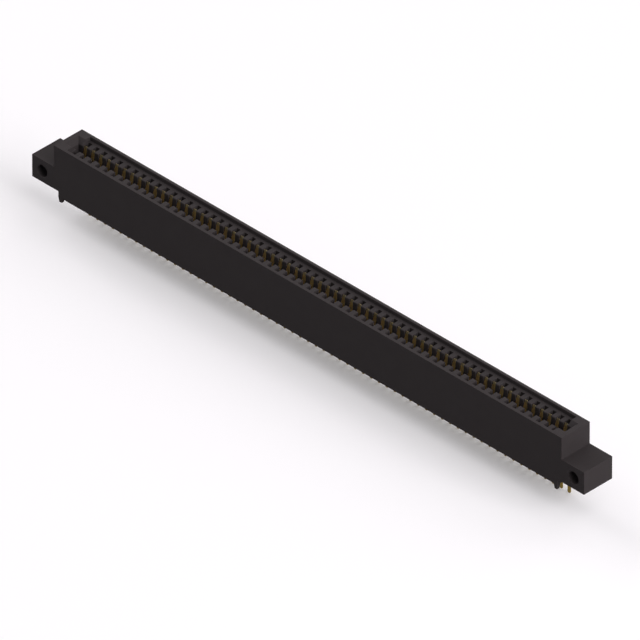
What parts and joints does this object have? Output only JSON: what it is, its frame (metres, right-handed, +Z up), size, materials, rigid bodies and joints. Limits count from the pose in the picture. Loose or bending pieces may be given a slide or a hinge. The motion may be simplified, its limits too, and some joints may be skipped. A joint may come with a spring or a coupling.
{
  "type": "card edge connector",
  "caption": "Long card edge connector: a moulded housing with a card slot, one row of sprung contacts with straight tails, and an ear with a cross hole at each end.",
  "frame": {"origin": "on the centre plane of the card slot, midway between the two ear holes", "axes": "+X along the card slot, +Y from the open front cavities to the row of contacts, +Z up out of the card slot"},
  "size_m": [0.1782, 0.0092, 0.021],
  "materials": {
    "housing_plastic": "matte black, glass filled",
    "contact_metal": "gold plated"
  },
  "bodies": {
    "root": {"housing": "housing_plastic", "contact_pair_01": "contact_metal", "contact_pair_02": "contact_metal", "contact_pair_03": "contact_metal", "contact_pair_04": "contact_metal", "contact_pair_05": "contact_metal", "contact_pair_06": "contact_metal", "contact_pair_07": "contact_metal", "contact_pair_08": "contact_metal", "contact_pair_09": "contact_metal", "contact_pair_10": "contact_metal", "contact_pair_11": "contact_metal", "contact_pair_12": "contact_metal", "contact_pair_13": "contact_metal", "contact_pair_14": "contact_metal", "contact_pair_15": "contact_metal", "contact_pair_16": "contact_metal", "contact_pair_17": "contact_metal", "contact_pair_18": "contact_metal", "contact_pair_19": "contact_metal", "contact_pair_20": "contact_metal", "contact_pair_21": "contact_metal", "contact_pair_22": "contact_metal", "contact_pair_23": "contact_metal", "contact_pair_24": "contact_metal", "contact_pair_25": "contact_metal", "contact_pair_26": "contact_metal", "contact_pair_27": "contact_metal", "contact_pair_28": "contact_metal", "contact_pair_29": "contact_metal", "contact_pair_30": "contact_metal", "contact_pair_31": "contact_metal"}
  },
  "joints": []
}
